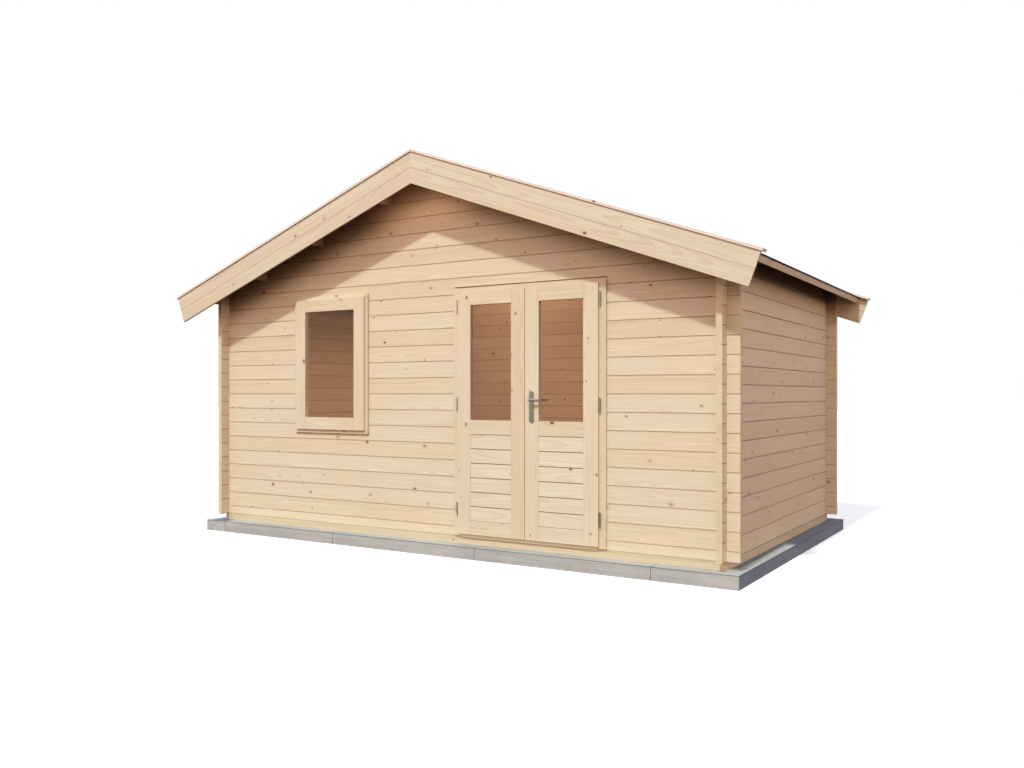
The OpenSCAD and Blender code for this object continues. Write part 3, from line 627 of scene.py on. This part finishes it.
def floor_deck(material):
    """Floor boards with chamfered edges, cut short where the door frame stands."""
    low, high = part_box("floor_boards")
    frame_low, frame_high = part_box("door_frame")
    chamfer, gap, clear, narrowest = 1.5 * MM, 0.5 * MM, 1.0 * MM, 0.01
    count = round((high.y - low.y) / BOARD_PITCH)
    pitch = (high.y - low.y) / count
    back = frame_high.y + clear
    vertices, faces = [], []
    for number in range(count):
        y0 = low.y + number * pitch + gap
        y1 = low.y + (number + 1) * pitch - gap
        spans = [(low.x, high.x)]
        if y0 < back:
            spans = [(low.x, frame_low.x - clear), (frame_high.x + clear, high.x)]
            if y1 - back > narrowest:
                add_board(vertices, faces, frame_low.x, frame_high.x, back, y1, low.z, high.z, chamfer)
        for x0, x1 in spans:
            add_board(vertices, faces, x0, x1, y0, y1, low.z, high.z, chamfer)
    piece = mesh_piece("floor_boards_laid", vertices, faces, material, "root")
    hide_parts("floor_boards")


def add_board(vertices, faces, x0, x1, y0, y1, z0, z1, chamfer):
    """Adds a board that runs from left to right, with its upper edges chamfered."""
    outline = [(y0, z0), (y1, z0), (y1, z1 - chamfer), (y1 - chamfer, z1),
               (y0 + chamfer, z1), (y0, z1 - chamfer)]
    add_prism(vertices, faces, [(x0, y, z) for y, z in outline], [(x1, y, z) for y, z in outline])


def screw_heads(name, points, direction, material):
    """Low round screw heads that stand on a face at the given points."""
    vertices, faces = [], []
    sides, radius, rise, sunk = 10, 0.0026, 0.7 * MM, 0.5 * MM
    rings = ((1.0, -sunk), (1.0, rise * 0.4), (0.7, rise))
    axis = Vector(direction).normalized()
    first = axis.orthogonal().normalized()
    second = axis.cross(first)
    for point in points:
        centre = Vector(point)
        base = len(vertices)
        for share, height in rings:
            for i in range(sides):
                angle = 2 * math.pi * i / sides
                offset = first * math.cos(angle) + second * math.sin(angle)
                vertices.append(tuple(centre + offset * radius * share + axis * height))
        for layer in range(len(rings) - 1):
            for i in range(sides):
                j = (i + 1) % sides
                a, b = base + layer * sides, base + (layer + 1) * sides
                faces.append((a + i, a + j, b + j, b + i))
        faces.append(tuple(base + i for i in reversed(range(sides))))
        faces.append(tuple(base + 2 * sides + i for i in range(sides)))
    mesh_piece(name, vertices, faces, material, "root")


def roof_screws(steel):
    """Screw heads: two in each barge board at each purlin, and a row down each cover strip."""
    top = DECK_T + FELT_T
    barge_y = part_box("front_barge_boards")[0].y
    rows = (top - 0.03, top - 0.09, -0.128, -0.188)
    stations = (0.12, 0.494, 1.326, 2.092, 2.80)
    for label, y, facing in (("front", barge_y, -1), ("back", -barge_y, 1)):
        points = [slope_point(side, u, w, y) for side in (-1, 1) for u in stations for w in rows]
        screw_heads(label + "_barge_screws", points, (0, facing, 0), steel)
    cover_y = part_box("front_verge_cover")[0].y
    head_count, first_u, run, from_edge = 9, 0.15, 2.7, 0.045
    for label, y in (("front", cover_y + from_edge), ("back", -cover_y - from_edge)):
        for side, word in ((-1, "left"), (1, "right")):
            points = [slope_point(side, first_u + run * i / (head_count - 1), top + COVER_T, y)
                      for i in range(head_count)]
            normal = (side * math.sin(ROOF_PITCH), 0, math.cos(ROOF_PITCH))
            screw_heads(f"{label}_{word}_cover_screws", points, normal, steel)


def dress_walls():
    front = log_material("pine_logs_front", False)
    side = log_material("pine_logs_side", True)
    for node in ("front_wall_left", "front_wall_right", "lintel_log", "front_gable",
                 "back_wall", "back_gable"):
        dress(node, front)
    for node in ("left_wall", "right_wall"):
        dress(node, side)


def dress_base():
    long_rows = concrete_material("concrete_long_rows", False)
    short_rows = concrete_material("concrete_short_rows", True)
    for side in ("front", "back"):
        dress("kerb_" + side, long_rows)
    for side in ("left", "right"):
        dress("kerb_" + side, short_rows)
    dress("sole_beams", bar_material("treated_pine_beams", 0, TREATED_LIGHT, TREATED_DARK, cell=0.5))
    dress("floor_joists", bar_material("treated_pine_joists", 1, TREATED_LIGHT, TREATED_DARK, cell=0.3))


def dress_roof():
    deck = deck_material("pine_roof_boards")
    felt = felt_material()
    for name, side in (("left", -1), ("right", 1)):
        roof_deck(name + "_roof_boards", side, deck)
        roof_felt(name + "_roof_felt", side, felt)
    # The purlins take the pine darkened as painted shade
    purlin = bar_material("pine_purlins", 1, ROOF_SHADED_LIGHT, ROOF_SHADED_DARK, cell=0.26)
    for node in ("ridge_purlin", "left_purlins", "right_purlins"):
        dress(node, purlin)
    top = DECK_T + FELT_T
    barge_pitch, cover_pitch = 0.12025, 0.1
    barge = slope_material("pine_barge_boards", BARGE_LIGHT, BARGE_DARK, barge_pitch,
                           top - 2 * barge_pitch, seam=0.9)
    cover = slope_material("pine_verge_covers", COVER_LIGHT, COVER_DARK, cover_pitch, top)
    eaves = bar_material("pine_eaves_boards", 1, PINE_LIGHT, PINE_DARK, cell=0.3)
    for end in ("front", "back"):
        dress(end + "_barge_boards", barge)
        dress(end + "_verge_cover", cover)
    for end in ("left", "right"):
        dress(end + "_eaves_board", eaves)


def dress_joinery():
    glass = glass_material()
    window_low, window_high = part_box("window_frame")
    show = 0.045
    dress("window_frame", joinery_material("pine_window_frame", window_low, window_high, show,
                                           [window_low.z + show * HALF, window_high.z - show * HALF]))
    sash_low, sash_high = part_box("window_sash")
    sash_rails = [sash_low.z + SASH_STILE_W * HALF, sash_high.z - SASH_STILE_W * HALF]
    dress("window_sash", joinery_material("pine_sash", sash_low, sash_high, SASH_STILE_W,
                                          sash_rails))
    door_low, door_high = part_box("door_frame")
    jamb, head = 0.071, 0.049
    # The door frame has no rail below, so the first height lies far under it
    no_sill = door_low.z - 1.0
    dress("door_frame", joinery_material("pine_door_frame", door_low, door_high, jamb,
                                         [no_sill, door_high.z - head * HALF]))
    dress("door_threshold", bar_material("pine_threshold", 0, PINE_LIGHT, PINE_DARK, cell=0.5))
    grip, board_count = 9.7 * MM, 6
    for side in ("left", "right"):
        leaf_low, leaf_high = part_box(side + "_door_frame")
        boards_low, boards_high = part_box(side + "_door_boards")
        glass_low, glass_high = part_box(side + "_door_glass")
        rails = [(leaf_low.z + boards_low.z) * HALF, (boards_high.z + glass_low.z) * HALF,
                 (glass_high.z + leaf_high.z) * HALF]
        dress(side + "_door_frame", joinery_material(f"pine_{side}_leaf", leaf_low, leaf_high,
                                                     STILE_W, rails))
        pitch = (boards_high.z - boards_low.z - 2 * grip) / board_count
        dress(side + "_door_boards", panel_material(f"pine_{side}_panel", boards_low.z + grip, pitch))
        dress(side + "_door_glass", glass)
    dress("window_glass", glass)


def dress_hardware():
    """Gives the metal parts their finish, and returns the steel for the screws."""
    steel = metal_material("zinc_steel", STEEL, 0.42)
    for node in ("frame_hinge_halves", "left_hinge_halves", "right_hinge_halves"):
        dress(node, steel)
    dress("handle_plates", metal_material("dark_plates", PLATE, 0.38))
    dress("door_handle", metal_material("satin_lever", LEVER, 0.32))
    return steel


def pale_floor():
    """A floor that the camera sees pale, with the cabin's soft shadow on it. To other rays it
    is dark, so that it throws hardly any light back up."""
    floor_mesh = bpy.data.meshes.new("floor")
    reach = 60.0
    floor_mesh.from_pydata([(-reach, -reach, 0), (reach, -reach, 0), (reach, reach, 0),
                            (-reach, reach, 0)], [], [(0, 1, 2, 3)])
    floor = bpy.data.objects.new("floor", floor_mesh)
    bpy.context.scene.collection.objects.link(floor)
    material = bpy.data.materials.new("pale_floor")
    material.use_nodes = True
    nodes, links = material.node_tree.nodes, material.node_tree.links
    nodes.clear()
    output = nodes.new("ShaderNodeOutputMaterial")
    path = nodes.new("ShaderNodeLightPath")
    pale = nodes.new("ShaderNodeBsdfDiffuse")
    pale.inputs["Color"].default_value = (0.98, 0.98, 0.98, 1)
    lift = nodes.new("ShaderNodeEmission")
    lift.inputs["Color"].default_value = (1, 1, 1, 1)
    lift.inputs["Strength"].default_value = 0.32
    seen = nodes.new("ShaderNodeAddShader")
    links.new(pale.outputs[0], seen.inputs[0])
    links.new(lift.outputs[0], seen.inputs[1])
    dark = nodes.new("ShaderNodeBsdfDiffuse")
    dark.inputs["Color"].default_value = (0.02, 0.02, 0.02, 1)
    pick = nodes.new("ShaderNodeMixShader")
    links.new(path.outputs["Is Camera Ray"], pick.inputs[0])
    links.new(dark.outputs[0], pick.inputs[1])
    links.new(seen.outputs[0], pick.inputs[2])
    links.new(pick.outputs[0], output.inputs["Surface"])
    floor_mesh.materials.append(material)


def surroundings():
    """A background that is seen white, and lights the cabin with a soft glow: warm and strong
    at the horizon, cool and weak overhead, and stronger from the front than from behind."""
    world = bpy.data.worlds.new("white_room")
    bpy.context.scene.world = world
    world.use_nodes = True
    nodes, links = world.node_tree.nodes, world.node_tree.links
    nodes.clear()
    output = nodes.new("ShaderNodeOutputWorld")
    path = nodes.new("ShaderNodeLightPath")

    def calc(operation, *values):
        made = nodes.new("ShaderNodeMath")
        made.operation = operation
        for socket, value in zip(made.inputs, values):
            if isinstance(value, bpy.types.NodeSocket):
                links.new(value, socket)
            else:
                socket.default_value = value
        return made.outputs[0]

    fall, gain, least, front_share = 0.5, 1.32, 0.06, -0.2
    direction = nodes.new("ShaderNodeSeparateXYZ")
    links.new(nodes.new("ShaderNodeTexCoord").outputs["Generated"], direction.inputs[0])
    height = calc("MAXIMUM", direction.outputs[2], 0.0)
    by_height = calc("MULTIPLY_ADD", calc("POWER", calc("SUBTRACT", 1.0, height), fall), gain, least)
    frontal = calc("MULTIPLY_ADD", direction.outputs[1], front_share, 1.0)
    tint = nodes.new("ShaderNodeMix")
    tint.data_type = "RGBA"
    links.new(height, tint.inputs[0])
    tint.inputs["A"].default_value = (1.45, 0.81, 0.51, 1)
    tint.inputs["B"].default_value = (0.50, 0.95, 1.34, 1)
    ambient = nodes.new("ShaderNodeBackground")
    links.new(tint.outputs["Result"], ambient.inputs["Color"])
    links.new(calc("MULTIPLY", by_height, frontal), ambient.inputs["Strength"])
    white = nodes.new("ShaderNodeBackground")
    white.inputs["Strength"].default_value = 1.0
    white.inputs["Color"].default_value = (1, 1, 1, 1)
    direct = calc("MAXIMUM", path.outputs["Is Camera Ray"], path.outputs["Is Glossy Ray"])
    through = calc("MAXIMUM", direct, path.outputs["Is Transmission Ray"])
    pick = nodes.new("ShaderNodeMixShader")
    links.new(through, pick.inputs[0])
    links.new(ambient.outputs[0], pick.inputs[1])
    links.new(white.outputs[0], pick.inputs[2])
    links.new(pick.outputs[0], output.inputs["Surface"])


def sun():
    """The key light, from the front and a little from the right."""
    key = bpy.data.lights.new("key", "SUN")
    key.energy = 2.06
    key.angle = math.radians(3)
    key.color = (0.92, 1.05, 1.02)
    lamp = bpy.data.objects.new("key", key)
    elevation, to_right, distance = math.radians(49), math.radians(2.2), 12
    toward = Vector((math.sin(to_right) * math.cos(elevation),
                     -math.cos(to_right) * math.cos(elevation), math.sin(elevation)))
    lamp.rotation_euler = toward.to_track_quat("Z", "Y").to_euler()
    lamp.location = toward * distance
    bpy.context.scene.collection.objects.link(lamp)


def warm_lamp(name, size, energy, place, tilt, spread):
    """A soft warm lamp in the cabin or under its roof, which the camera doesn't see."""
    lamp = bpy.data.lights.new(name, "AREA")
    lamp.shape = "RECTANGLE"
    lamp.size, lamp.size_y = size
    lamp.energy = energy
    lamp.color = (1.0, 0.56, 0.37)
    lamp.spread = math.radians(spread)
    glow = bpy.data.objects.new(name, lamp)
    glow.location = place
    glow.rotation_euler = (math.radians(tilt), 0, 0)
    glow.visible_camera = False
    glow.visible_glossy = False
    bpy.context.scene.collection.objects.link(glow)


def photo_camera():
    """The photograph's camera, level, with the horizon just below the middle of the picture."""
    data = bpy.data.cameras.new("camera")
    data.sensor_width = 36.0
    focal_px, width_px, horizon_px, middle_px = 910.2, 1024, 394.0, 384.0
    data.lens = focal_px / width_px * data.sensor_width
    data.shift_y = (horizon_px - middle_px) / width_px
    camera = bpy.data.objects.new("camera", data)
    camera.location = (4.520, -7.591, 1.315)
    camera.rotation_euler = (math.radians(90), 0, math.radians(31.62))
    bpy.context.scene.collection.objects.link(camera)
    bpy.context.scene.camera = camera


def studio():
    """Floor, surroundings, lamps and camera."""
    bpy.context.scene.view_settings.view_transform = "Standard"
    pale_floor()
    surroundings()
    sun()
    warm_lamp("room_glow", size=(3.6, 1.6), energy=21, place=(0, 0, 2.02), tilt=0, spread=180)
    warm_lamp("back_glow", size=(1.8, 0.3), energy=5.0, place=(-0.8, 0, 2.3), tilt=103, spread=100)
    warm_lamp("gable_glow", size=(0.9, 0.08), energy=0.45, place=(-0.1, -1.74, 2.90), tilt=82,
              spread=180)
    photo_camera()


# Places worked out from the frame
deck_low, deck_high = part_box("right_roof_boards")
ridge_under = deck_high.z - DECK_T / math.cos(ROOF_PITCH)
deck_u1 = (deck_high.x - DECK_T * math.sin(ROOF_PITCH)) / math.cos(ROOF_PITCH)
felt_end = deck_u1 + FELT_OVERHANG
deck_y0 = deck_low.y
deck_count = round((deck_high.y - deck_low.y) / BOARD_PITCH)
deck_pitch = (deck_high.y - deck_low.y) / deck_count
back_low, back_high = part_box("back_wall")
side_low, side_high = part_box("right_wall")
cad_wall_y = (back_low.y + back_high.y) * HALF
cad_wall_x = (side_low.x + side_high.x) * HALF
door_middle = (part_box("left_door_frame")[1].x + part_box("right_door_frame")[0].x) * HALF

studio()
dress_walls()
dress_base()
dress_roof()
floor_deck(bar_material("pine_floor", 0, PINE_LIGHT, PINE_DARK, cell=BOARD_PITCH, roughness=0.5))
dress_joinery()
roof_screws(dress_hardware())
